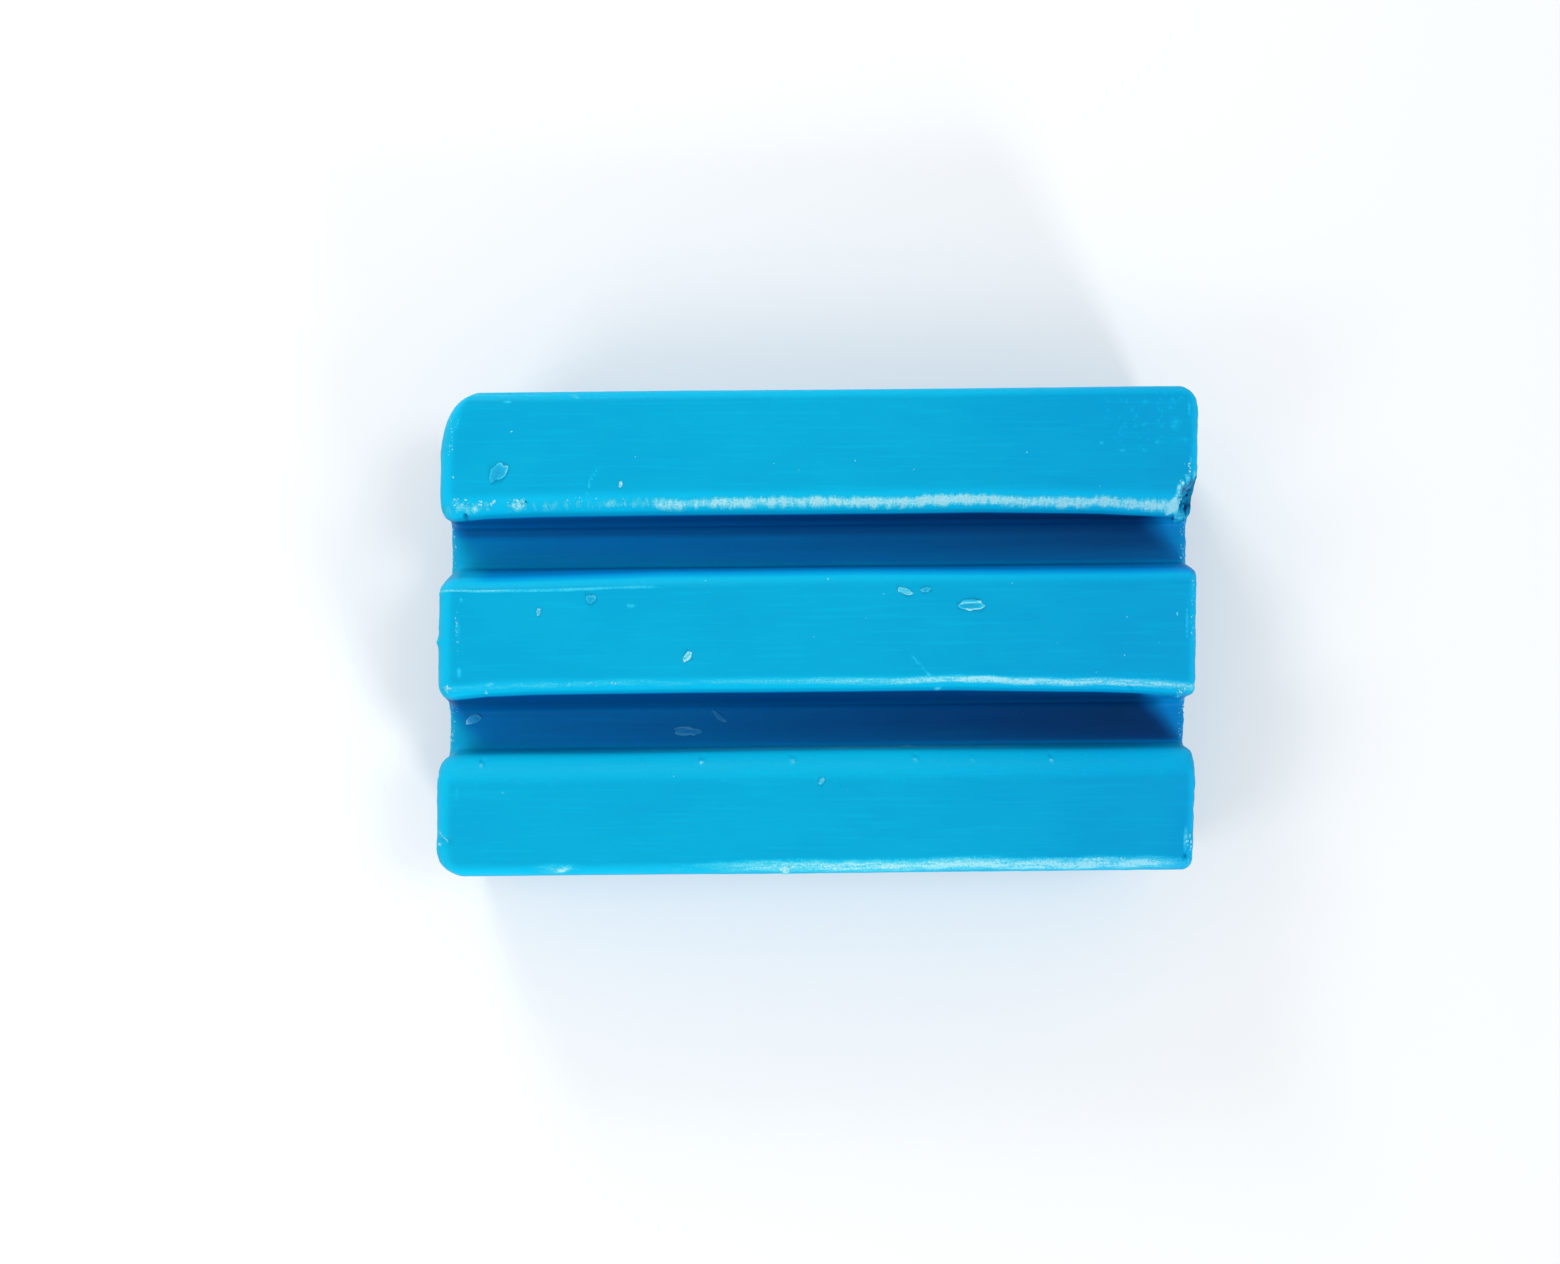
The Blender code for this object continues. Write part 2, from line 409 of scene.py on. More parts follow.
def half_angle(first, second):
    """Half the angle between two unit vectors."""
    return math.acos(np.clip(first @ second, -1, 1)) / 2


def is_convex(to_before, to_after):
    return to_before[0] * to_after[1] - to_before[1] * to_after[0] < 0


def rounded_corner(corner, to_before, to_after, radius, count):
    """Points along the arc that rounds a corner, from the edge before it to the edge after."""
    half = half_angle(to_before, to_after)
    centre = corner + unit(to_before + to_after) * radius / math.sin(half)
    start = corner + to_before * radius / math.tan(half) - centre
    turn = 1 if is_convex(to_before, to_after) else -1
    angles = math.atan2(start[1], start[0]) + turn * np.linspace(0, math.pi - 2 * half, count)
    return centre + radius * np.stack([np.cos(angles), np.sin(angles)], axis=1)


def section_points(inset=0.0):
    """The closed outline of the section as points (y, z), shrunk by an inset. The number
    of points is the same for every inset."""
    corners = section_corners()
    places = [np.array(corner[:2], float) for corner in corners]
    arcs, straights = [], []
    for i, (_, _, cut, step) in enumerate(corners):
        after = (i + 1) % len(corners)
        to_before = unit(places[i - 1] - places[i])
        to_after = unit(places[after] - places[i])
        half = half_angle(to_before, to_after)
        radius = cut * math.tan(half)
        count = max(4, round(radius * (math.pi - 2 * half) / ARC_STEP) + 1)
        side = 1 if is_convex(to_before, to_after) else -1
        shrunk = places[i] + side * unit(to_before + to_after) * inset / math.sin(half)
        radius = max(radius - side * inset, SHARPEST_EDGE)
        arcs.append(rounded_corner(shrunk, to_before, to_after, radius, count))
        length = np.linalg.norm(places[after] - places[i]) - cut - corners[after][2]
        straights.append(max(1, round(length / step)))
    points = []
    for i, arc in enumerate(arcs):
        points.extend(arc)
        way = arcs[(i + 1) % len(arcs)][0] - arc[-1]
        points.extend(arc[-1] + way * k / straights[i] for k in range(1, straights[i]))
    return np.array(points)


# ---------------------------------------------------------------- the block's mesh


def stations():
    """X of each section between the rounded ends, closer together near the ends."""
    low, high = -HALF_LENGTH + LEFT_END_EDGE, HALF_LENGTH - RIGHT_END_EDGE
    count = round(END_ZONE / END_STATION_STEP)
    left = low + np.arange(count) * END_STATION_STEP
    right = high - np.arange(count)[::-1] * END_STATION_STEP
    middle_count = round((right[0] - left[-1]) / STATION_STEP)
    middle = np.linspace(left[-1], right[0], middle_count + 1)[1:-1]
    return np.concatenate([left, middle, right])


def end_rings(edge):
    """(distance from the end's face, inset) of the sections that round an end."""
    angles = np.linspace(0, math.pi / 2, END_ROWS + 1)[1:]
    return [(edge * (1 - math.sin(a)), edge * (1 - math.cos(a))) for a in angles]


def inside(outline, point, margin):
    """Whether a point is inside an outline and at least margin from it."""
    gaps = outline - np.array(point)
    if (gaps**2).sum(axis=1).min() < margin**2:
        return False
    a, b = outline, np.roll(outline, -1, axis=0)
    crosses = (a[:, 1] > point[1]) != (b[:, 1] > point[1])
    a, b = a[crosses], b[crosses]
    at = a[:, 0] + (point[1] - a[:, 1]) * (b[:, 0] - a[:, 0]) / (b[:, 1] - a[:, 1])
    return bool(np.count_nonzero(point[0] < at) % 2)


def cap_faces(outline, first_index, next_index, step):
    """Points inside an outline on a staggered grid, and triangles that fill it."""
    low, high = outline.min(axis=0), outline.max(axis=0)
    rows = np.arange(low[1] + step, high[1], step * 0.87)
    inner = [
        (y, z)
        for k, z in enumerate(rows)
        for y in np.arange(low[0] + step * (1 + k % 2 / 2), high[0], step)
    ]
    inner = [p for p in inner if inside(outline, p, step * 0.55)]
    count = len(outline)
    flat = [Vector(p) for p in outline] + [Vector(p) for p in inner]
    edges = [(i, (i + 1) % count) for i in range(count)]
    _, _, faces, origins, _, _ = delaunay_2d_cdt(flat, edges, [], 1, 1e-7)
    places = [old[0] for old in origins]
    index = [first_index + k if k < count else next_index + k - count for k in places]
    return inner, [[index[i] for i in face] for face in faces]


def block_shell():
    """(points, faces) of the plain block: rings of the section, joined, and two caps."""
    rings = [
        (-HALF_LENGTH + depth, section_points(inset))
        for depth, inset in reversed(end_rings(LEFT_END_EDGE))
    ]
    rings += [(x, section_points()) for x in stations()]
    rings += [
        (HALF_LENGTH - depth, section_points(inset))
        for depth, inset in end_rings(RIGHT_END_EDGE)
    ]
    points = []
    for x, ring in rings:
        points.extend(np.column_stack([np.full(len(ring), x), ring]))
    count = len(rings[0][1])
    faces = []
    for r in range(len(rings) - 1):
        for k in range(count):
            a, b = r * count + k, r * count + (k + 1) % count
            faces.append((a, b, b + count, a + count))
    for ring, turned in ((0, True), (len(rings) - 1, False)):
        x, outline = rings[ring]
        inner, triangles = cap_faces(outline, ring * count, len(points), CAP_STEP)
        points.extend((x, y, z) for y, z in inner)
        faces += [face[::-1] if turned else face for face in triangles]
    return np.array(points), faces


def make_mesh(name, points, faces, material):
    """A smooth-shaded object from points in mm."""
    mesh = bpy.data.meshes.new(name)
    mesh.from_pydata((points * MM).tolist(), [], faces)
    mesh.shade_smooth()
    mesh.materials.append(material)
    obj = bpy.data.objects.new(name, mesh)
    bpy.context.scene.collection.objects.link(obj)
    return obj


def normals_of(mesh):
    flat = np.empty(len(mesh.vertices) * 3)
    mesh.vertex_normals.foreach_get("vector", flat)
    return flat.reshape(-1, 3)


def set_points(mesh, points):
    mesh.vertices.foreach_set("co", (points * MM).ravel())
    mesh.update()


def set_attribute(mesh, name, values):
    attribute = mesh.attributes.new(name, "FLOAT", "POINT")
    attribute.data.foreach_set("value", np.asarray(values, np.float32))


# ---------------------------------------------------------------- wear of the block


def drawn_in(y, corners):
    """How far an end is drawn in at its corners, in mm."""
    total = np.zeros(len(y))
    for start, length, inwards, power in corners:
        past_start = y * math.copysign(1, start) - abs(start)
        total += inwards * np.clip(past_start / length, 0, 1) ** power
    return total


def bend_ends(points):
    """Moves the points to the ends' outline seen from above, their skew, and their swell
    below the tops, and drags the grooves' lips out of line."""
    x, y, z = points.T
    left = smooth(-HALF_LENGTH + END_REACH, -HALF_LENGTH, x)
    right = smooth(HALF_LENGTH - END_REACH, HALF_LENGTH, x)
    flare = END_FLARE * (1 - np.clip(z / HEIGHT, 0, 1) ** 4)
    flare -= BASE_DRAW_IN * smooth(BASE_DRAW_IN_HEIGHT, 0, z)
    wavy = END_WAVES * layered_noise(points, (60, 2.6, 3.4), 11)
    ragged = END_RAGGEDNESS * layered_noise(points, (60, 0.5, 0.7), 17)
    ragged *= 1 + smooth(12, 10, z)
    moved = points.copy()
    left_in = drawn_in(y, LEFT_CORNERS) + LEFT_TOP_INSET
    right_in = drawn_in(y, RIGHT_CORNERS) + RIGHT_TOP_INSET
    moved[:, 0] += left * (left_in - flare + wavy) + END_SKEW * y
    moved[:, 0] -= right * (right_in - flare + wavy)
    near_face = smooth(HALF_LENGTH - 0.9, HALF_LENGTH - 0.1, np.abs(x))
    moved[:, 0] += near_face * np.where(x > 0, 1.6, 0.8) * ragged
    high = smooth(FLOOR_Z + 0.5, HEIGHT - 1, z)
    for lip, drag in LIP_DRAGS:
        near_lip = falloff((y - lip) / LIP_DRAG_REACH)
        moved[:, 1] -= np.interp(x, *zip(*drag)) * near_lip * high
    burr_y, burr_half, burr_length = BURR
    burr = falloff((y - burr_y) / burr_half) * smooth(HEIGHT - 2.8, HEIGHT - 1.4, z)
    moved[:, 0] -= near_face * left * burr_length * burr
    return moved


def lies_on_top(z):
    """1 on the ribs' tops and roundings, 0 further down."""
    return smooth(HEIGHT - 3.0, HEIGHT - 2.0, z)


def tear_at(x, y, place, reach):
    """How much each point lies on one of the small tears along the front rib's back edge."""
    total = np.zeros(len(x))
    for k, tear_x in enumerate(TEARS_X):
        lean = 0.12 * math.sin(5.0 * k)
        size = 0.75 + 0.35 * math.sin(3.1 * k + 1)
        row = (tear_x + lean, place, reach[0] * size, reach[1] * size, 14 * math.sin(2.3 * k))
        total += size * patch(x, y, row)
    return total


def worn_height(points):
    """How far each point of the block stands out of (or into) its plain surface, in mm."""
    x, y, z = points.T
    top = lies_on_top(z)
    height = sum(size * layered_noise(points, lumps, seed) for size, lumps, seed in UNEVENNESS)
    for middle, half, comb, strengths in WORN_BANDS:
        strength = np.interp(x, *zip(*strengths))
        band = top * falloff((y - middle) / (half * 1.5))
        teeth = noise(points, (0.3, 1.1, 4.0), 41) * comb
        rough = layered_noise(points, (0.8, 0.35, 0.5), 51) * (1 - 0.5 * comb)
        height += band * strength * BAND_ROUGHNESS * (teeth + rough)
    for row in DENTS:
        mark = top * patch(x, y, row)
        height += row[5] * mark * (1 + 0.35 * layered_noise(points, (0.4, 0.4, 0.4), 61))
    height -= TEAR_DEPTH * top * tear_at(x, y, TEARS_Y, (0.24, 0.36))
    height += TEAR_LIP * top * tear_at(x, y, TEARS_Y - 0.45, (0.3, 0.35))
    ends = smooth(HALF_LENGTH - 1.3, HALF_LENGTH - 0.2, np.abs(x))
    height += ends * END_UNEVENNESS * layered_noise(points, (0.9, 0.7, 0.7), 71)
    groove = smooth(FLOOR_Z + 1.2, FLOOR_Z + 0.2, z) * smooth(FLOOR_Z - 0.4, FLOOR_Z - 0.1, z)
    height += groove * FLOOR_UNEVENNESS * layered_noise(points, (9, 0.5, 2), 81)
    return height


def tear_corner(points):
    """Lowers what stands above the rough hollow where the back rib's corner is torn off.
    Gives the points, and how much each lies in the hollow and on its rim."""
    x, y, z = points.T
    lines_y, lines_x = zip(*TORN_LINE)
    line = np.interp(y, lines_y, lines_x) + 0.14 * noise(points, (9, 0.45, 9), 91)
    past = np.where((y > lines_y[0]) & (y < lines_y[-1]), x - line, -1.0)
    rough = 0.34 * layered_noise(points, (0.7, 0.6, 9), 95) * smooth(0, 0.5, past)
    deepest = TORN_DEPTH * (0.45 + 0.55 * smooth(13.2, 11.0, y))
    depth = deepest * smooth(-0.05, 1.5, past) + 0.12 * (past > 0) + rough
    limit = np.where(past > 0, HEIGHT - depth, HEIGHT + 9)
    moved = points.copy()
    moved[:, 2] = np.minimum(z, limit)
    inner = smooth(0.0, 0.35, past) * (z > limit - 0.4)
    rim = falloff((past + 0.12) / 0.34) * (z > HEIGHT - 1.5)
    return moved, inner, rim


def scratch(x, y, start, end, half):
    """How much each point lies on a straight scratch, from 0 to 1."""
    way = np.subtract(end, start)
    share = np.clip(((x - start[0]) * way[0] + (y - start[1]) * way[1]) / (way @ way), 0, 1)
    gap = np.hypot(x - start[0] - share * way[0], y - start[1] - share * way[1])
    return falloff(gap / (half * 2.2))


def paleness(points, x, y, z, rim):
    """How pale with wear each point of the block is, evenly and in comb-like marks. 1 is
    the palest."""
    top = lies_on_top(z)
    pale = np.zeros(len(x))
    comb = np.zeros(len(x))
    for middle, half, comb_like, strengths in WORN_BANDS:
        strength = np.interp(x, *zip(*strengths))
        wander = 0.12 * noise(points, (2.4, 50, 50), 101)
        band = top * falloff((y - middle - wander) / half) ** 0.6 * strength
        pale += band * (1 - 0.5 * comb_like)
        comb += band * comb_like
    seen = smooth(FLOOR_Z - 0.6, FLOOR_Z - 0.1, z)
    for row in SMEARS:
        pale += row[5] * seen * patch(x, y, row)
    for start, end, half, strength in SCRATCHES:
        pale += strength * top * scratch(x, y, start, end, half)
    for row in DENTS:
        pale += row[6] * top * patch(x, y, row)
    pale -= 0.8 * top * tear_at(x, y, TEARS_Y, (0.2, 0.34))
    pale += 0.75 * top * tear_at(x, y, TEARS_Y - 0.5, (0.22, 0.3))
    ends = falloff((np.abs(x) - HALF_LENGTH + 0.25) / 0.6) * smooth(HEIGHT - 6.5, HEIGHT - 3, z)
    pale += 0.3 * ends * smooth(-0.2, 0.8, layered_noise(points, (0.8, 0.8, 0.8), 111))
    return pale + RIM_PALENESS * rim, comb


def side_wear(points, normals):
    """Paleness of the rounded edges below the ribs' tops, in broken patches."""
    bend = 1 - np.abs(normals).max(axis=1)
    broken = smooth(0.0, 0.55, layered_noise(points, (2.2, 2.2, 2.2), 141))
    low = smooth(HEIGHT - 2.5, HEIGHT - 4, points[:, 2])
    outer = (np.abs(points[:, 1]) > HALF_WIDTH - 2) | (points[:, 2] < FLOOR_Z - 0.8)
    return 0.55 * smooth(0.04, 0.25, bend) * broken * low * outer


def speckles(x, y, z):
    """Where the wax is mottled: at the back right corner, and at the front rib's back edge."""
    corner = smooth(22.5, 26, x) * smooth(14.2, 16, y)
    return lies_on_top(z) * (corner + falloff((y + 11.6) / 1.7))


def rounded_edge_highlight(z, normals):
    """Painted highlight: 1 on the roundings beside the ribs' tops, 0 elsewhere."""
    tilt = np.degrees(np.arccos(np.clip(normals[:, 2], -1, 1)))
    return lies_on_top(z) * smooth(4, 35, tilt) * smooth(85, 55, tilt)


def make_block(material):
    """The worn block. Gives its points in mm and its faces."""
    plain, faces = block_shell()
    block = make_mesh("scored_block", plain, faces, material)
    plain_normals = normals_of(block.data)
    x, y, z = plain.T
    points = plain + plain_normals * worn_height(plain)[:, None]
    points[:, 2] = np.maximum(points[:, 2], 0.0)
    points, torn, rim = tear_corner(bend_ends(points))
    set_points(block.data, points)
    pale, comb = paleness(plain, x, y, z, rim)
    pale += side_wear(plain, plain_normals)
    crumbly = smooth(0.1, 0.7, layered_noise(plain, (0.4, 0.4, 0.4), 121))
    pale += TORN_PALENESS * torn * crumbly
    # Painted shade in the small pits
    for row in PIT_SHADES:
        torn += lies_on_top(z) * patch(x, y, row)
    attributes = {
        "pale": pale,
        "comb": comb,
        "torn": torn,
        "speckled": speckles(x, y, z),
        # shade: painted shade in the grooves and on the ribs towards the right end
        "shade": groove_shade(x, y, z) + top_shade(x, y, z),
        # edge: painted highlight on the roundings beside the ribs' tops
        "edge": rounded_edge_highlight(z, plain_normals),
    }
    for name, values in attributes.items():
        set_attribute(block.data, name, values)
    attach(block, BODY)
    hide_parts("ribbed_block")
    return points, faces


def open_end_share(x, off):
    """How much of the painted shade is left at each point: all of it inside a groove, and less
    beyond a slant near its open ends, where light comes in. Off is the distance behind the groove's
    middle."""
    across = np.clip(off / 3, -0.7, 1.1)
    share = np.ones(len(x))
    for side, (start, slant, fade_from, fade_to) in zip((-1, 1), OPEN_ENDS):
        share *= smooth(fade_from, fade_to, HALF_LENGTH - side * x - start - slant * across)
    end_share = np.where(x < 0, *OPEN_END_SHADES) * smooth(3.1, 2.3, off)
    return share + (1 - share) * end_share


def groove_shade(x, y, z):
    """How much painted shade darkens the wax at each point inside the grooves, on their floors
    and walls, where shade falls."""
    shade = np.zeros(len(x))
    along = np.clip((x + 30) / 60, 0, 1)
    for (middle, (slope, cut), _), shades in zip(GROOVES, GROOVE_SHADES):
        floor_dark, front_dark, *from_left_to_right = shades
        off = y - middle
        radius = cut * math.tan(math.radians(90 + slope) / 2)
        wall_top = HEIGHT - radius * (1 - math.sin(math.radians(slope))) - WALL_SHADE_DROP
        is_floor = (z < FLOOR_Z + 0.45) * (z > FLOOR_Z - 0.6) * (np.abs(off) < FLOOR_HALF + 0.3)
        foot, strip, gone = (np.interp(along, (0, 1), ends) for ends in from_left_to_right)
        floor = floor_dark + FLOOR_DARKENING * along
        floor += np.maximum(strip - floor, 0) * smooth(1.0, 1.35, off)
        floor *= (1 - gone * smooth(0.3, -1.2, off)) * (1 - 0.6 * smooth(-1.2, -1.75, off))
        wall = foot + WALL_DARKENING * smooth(FLOOR_Z + 0.5, wall_top - 0.8, z)
        wall *= smooth(wall_top + 0.1, wall_top - 0.2, z) * (off > 0)
        front_wall = front_dark * smooth(HEIGHT - 0.1, HEIGHT - 1.2, z) * (off < 0)
        within = (np.abs(off) < GROOVE_SHADE_HALF) * (z > FLOOR_Z - 0.6)
        shade += open_end_share(x, off) * within * np.where(is_floor, floor, wall + front_wall)
    return shade


def top_shade(x, y, z):
    """The ribs' slight painted shade towards the right end, more at the front rib's right corner."""
    corner = smooth(28.5, 31.5, x) * smooth(-9, -15, y)
    return lies_on_top(z) * (TOP_DARKENING * smooth(3, 30, x) + CORNER_DARKENING * corner)


# ---------------------------------------------------------------- flakes and crumbs


def drop(tree, x, y):
    """Where a thing let fall at x, y comes to lie on the block, in mm."""
    place, _, _, _ = tree.ray_cast(Vector((x, y, 2 * HEIGHT)), Vector((0, 0, -1)))
    return place


def flake_surface(row, rng):
    """(low points, high points, paleness) of a flake at the origin, ring by ring from its
    middle outwards. Its rim is ragged and curls up."""
    _, length, width, turn, curl, fill = row
    waves = [(k, rng.uniform(0, 2 * math.pi), rng.uniform(0.06, 0.2) / k**0.5) for k in (2, 3, 5, 8)]
    c, s = math.cos(math.radians(turn)), math.sin(math.radians(turn))
    bright_side = rng.uniform(0, 2 * math.pi)
    low, high, pale = [], [], []
    for ring in range(FLAKE_RINGS + 1):
        share = ring / FLAKE_RINGS
        for spoke in range(FLAKE_SPOKES):
            a = 2 * math.pi * spoke / FLAKE_SPOKES
            reach = share * (1 + sum(size * math.sin(k * a + shift) for k, shift, size in waves))
            along, across = reach * length / 2 * math.cos(a), reach * width / 2 * math.sin(a)
            x, y = along * c - across * s, along * s + across * c
            bottom = FLAKE_GAP + curl * 0.22 * max(0.0, share - 0.45) ** 1.5
            crease = 0.05 * math.sin(7 * share + 3 * a + turn) * share
            body = FLAKE_THICKNESS * (1 - 0.65 * share**3)
            low.append((x, y, bottom))
            high.append((x, y, bottom + body + crease + rng.uniform(-0.012, 0.012)))
            rim = share**6 * (0.4 + 0.6 * max(0.0, math.cos(a - bright_side)))
            stripe = max(0.0, math.sin(5 * share * math.sin(a) + bright_side)) ** 3
            stripe *= 0.9 * (length > STRIPED_LENGTH)
            pale.append(fill + rim + stripe + rng.uniform(-0.06, 0.06))
    return np.array(low), np.array(high), pale


def flake_faces():
    """The faces of a flake, whose high points come after its low ones."""
    count = (FLAKE_RINGS + 1) * FLAKE_SPOKES
    faces = []
    for ring in range(FLAKE_RINGS):
        for spoke in range(FLAKE_SPOKES):
            a = ring * FLAKE_SPOKES + spoke
            b = ring * FLAKE_SPOKES + (spoke + 1) % FLAKE_SPOKES
            faces.append((a, a + FLAKE_SPOKES, b + FLAKE_SPOKES, b))
            faces.append((count + a, count + b, count + b + FLAKE_SPOKES, count + a + FLAKE_SPOKES))
    rim = FLAKE_RINGS * FLAKE_SPOKES
    for spoke in range(FLAKE_SPOKES):
        a, b = rim + spoke, rim + (spoke + 1) % FLAKE_SPOKES
        faces.append((a, count + a, count + b, b))
    return faces


def make_flake(tree, row, material, rng):
    """A thin ragged chip that lies on the block at its node's place."""
    name = row[0]
    at_x, at_y, _ = (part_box(name)[0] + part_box(name)[1]) / 2 / MM
    low, high, pale = flake_surface(row, rng)
    rests = [drop(tree, at_x + x, at_y + y).z for x, y, _ in low]
    middle = sorted(rests)[len(rests) // 2]
    rests = np.clip(rests, middle - FLAKE_SETTLING, middle + FLAKE_SETTLING)
    points = np.concatenate([low, high]) + [at_x, at_y, 0]
    points[:, 2] += np.tile(rests, 2)
    flake = make_mesh(name.replace("flake", "loose_flake"), points, flake_faces(), material)
    set_attribute(flake.data, "pale", pale + pale)
    # Painted shade where the flake lies in a groove
    set_attribute(flake.data, "shade", groove_shade(*points.T))
    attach(flake, BODY)
    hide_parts(name)


def icosphere():
    """(corners, faces) of a ball of radius 1 with 42 corners."""
    mesh = bpy.data.meshes.new("ball")
    bm = bmesh.new()
    bmesh.ops.create_icosphere(bm, subdivisions=2, radius=1)
    bm.to_mesh(mesh)
    bm.free()
    corners = np.array([v.co[:] for v in mesh.vertices])
    faces = [tuple(p.vertices) for p in mesh.polygons]
    bpy.data.meshes.remove(mesh)
    return corners, faces


def crumb(corners, place, size, rng):
    """The corners of one lump that sits at a place on the block."""
    radius = size / 2 * rng.uniform(0.45, 1.3)
    lump = corners * [radius * rng.uniform(0.7, 1.5), radius, radius * rng.uniform(0.5, 0.8)]
    swell = 0.3 * noise(corners * 1.7 + rng.uniform(0, 99), (1, 1, 1), 131)
    lump = lump * (1 + swell)[:, None]
    a, b = along_axes(lump[:, 0], lump[:, 1], rng.uniform(0, 180))
    return np.column_stack([a, b, lump[:, 2]]) + [place.x, place.y, place.z + radius * 0.1]


def make_crumbs(tree, material, rng):
    """All the small crumbs, as one piece of many tiny lumps that sit on the block."""
    corners, ball_faces = icosphere()
    points, faces, pale = [], [], []
    for x, y, spread_x, spread_y, count, size in CRUMBS:
        for _ in range(count):
            place = drop(tree, x + spread_x * rng.uniform(-1, 1), y + spread_y * rng.uniform(-1, 1))
            if place is None:
                continue
            lump = crumb(corners, place, size, rng)
            faces += [tuple(len(points) + i for i in face) for face in ball_faces]
            points.extend(lump)
            pale += [rng.uniform(0.35, 1.15)] * len(lump)
    crumbs = make_mesh("crumbs", np.array(points), faces, material)
    set_attribute(crumbs.data, "pale", pale)
    # Painted shade where the crumbs lie in a groove
    set_attribute(crumbs.data, "shade", groove_shade(*np.array(points).T))
    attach(crumbs, BODY)


# ---------------------------------------------------------------- materials


class Graph:
    """Builds one material's nodes."""

    def __init__(self, name):
        self.material = bpy.data.materials.new(name)
        self.material.use_nodes = True
        self.tree = self.material.node_tree
        self.shader = self.tree.nodes["Principled BSDF"]
        self.place = self.add("ShaderNodeTexCoord").outputs["Object"]

    def add(self, kind, **settings):
        node = self.tree.nodes.new(kind)
        for key, value in settings.items():
            setattr(node, key, value)
        return node

    def put(self, socket, value):
        if isinstance(value, bpy.types.NodeSocket):
            self.tree.links.new(value, socket)
        else:
            socket.default_value = value

    def attribute(self, name):
        return self.add("ShaderNodeAttribute", attribute_name=name).outputs["Fac"]

    def math(self, operation, first, second=0.0, clamp=False):
        node = self.add("ShaderNodeMath", operation=operation, use_clamp=clamp)
        self.put(node.inputs[0], first)
        self.put(node.inputs[1], second)
        return node.outputs["Value"]

    def ramp(self, value, low, high, to_low=0.0, to_high=1.0):
        node = self.add("ShaderNodeMapRange", interpolation_type="SMOOTHSTEP")
        for key, given in (("Value", value), ("From Min", low), ("From Max", high),
                           ("To Min", to_low), ("To Max", to_high)):
            self.put(node.inputs[key], given)
        return node.outputs["Result"]

    def noise(self, per_mm, detail=3.0, roughness=0.55):
        """Noise with per_mm lumps to the millimetre, along X, Y and Z."""
        mapping = self.add("ShaderNodeMapping")
        mapping.inputs["Scale"].default_value = [share / MM for share in per_mm]
        self.tree.links.new(self.place, mapping.inputs["Vector"])
        node = self.add("ShaderNodeTexNoise")
        node.inputs["Scale"].default_value = 1.0
        node.inputs["Detail"].default_value = detail
        node.inputs["Roughness"].default_value = roughness
        self.tree.links.new(mapping.outputs["Vector"], node.inputs["Vector"])
        return node.outputs["Fac"]

    def mix(self, share, first, second, blend="MIX"):
        node = self.add("ShaderNodeMix", data_type="RGBA", blend_type=blend)
        colour_inputs = [socket for socket in node.inputs if socket.type == "RGBA"]
        self.put(node.inputs["Factor"], share)
        self.put(colour_inputs[0], first)
        self.put(colour_inputs[1], second)
        return next(socket for socket in node.outputs if socket.type == "RGBA")

    def colours(self, value, stops):
        node = self.add("ShaderNodeValToRGB")
        while len(node.color_ramp.elements) < len(stops):
            node.color_ramp.elements.new(0.5)
        for element, (at, colour) in zip(node.color_ramp.elements, stops):
            element.position = at
            element.color = colour
        self.tree.links.new(value, node.inputs["Fac"])
        return node.outputs["Color"]

    def bump(self, height, distance, normal=None):
        node = self.add("ShaderNodeBump")
        node.inputs["Strength"].default_value = 1.0
        node.inputs["Distance"].default_value = distance * MM
        self.tree.links.new(height, node.inputs["Height"])
        if normal is not None:
            self.tree.links.new(normal, node.inputs["Normal"])
        return node.outputs["Normal"]


BLUE = (0.0010, 0.310, 0.532, 1)
GREENER_BLUE = (0.0012, 0.328, 0.544, 1)
# Lighter blue for the mottles and drag lines, and painted highlight on the roundings beside the
# ribs' tops
MOTTLE_AND_HIGHLIGHT_BLUE = (0.002, 0.44, 0.69, 1)
# Tints of the painted shade, from none to the darkest
SHADE_TINTS = (
    (0.0, (1, 1, 1, 1)),
    (0.45, (0.2, 0.578, 0.90, 1)),
    (0.9, (0.08, 0.172, 0.38, 1)),
    (1.0, (0.06, 0.125, 0.28, 1)),
)
# Dark blue of the torn hollow, also used as painted shade in the small pits
TORN_AND_PIT_SHADE_BLUE = (0.0005, 0.05, 0.15, 1)
WORN_STOPS = (
    (0.0, BLUE),
    (0.22, (0.005, 0.42, 0.66, 1)),
    (0.5, (0.045, 0.5, 0.68, 1)),
    (0.8, (0.15, 0.575, 0.70, 1)),
    (1.0, (0.32, 0.665, 0.74, 1)),
)


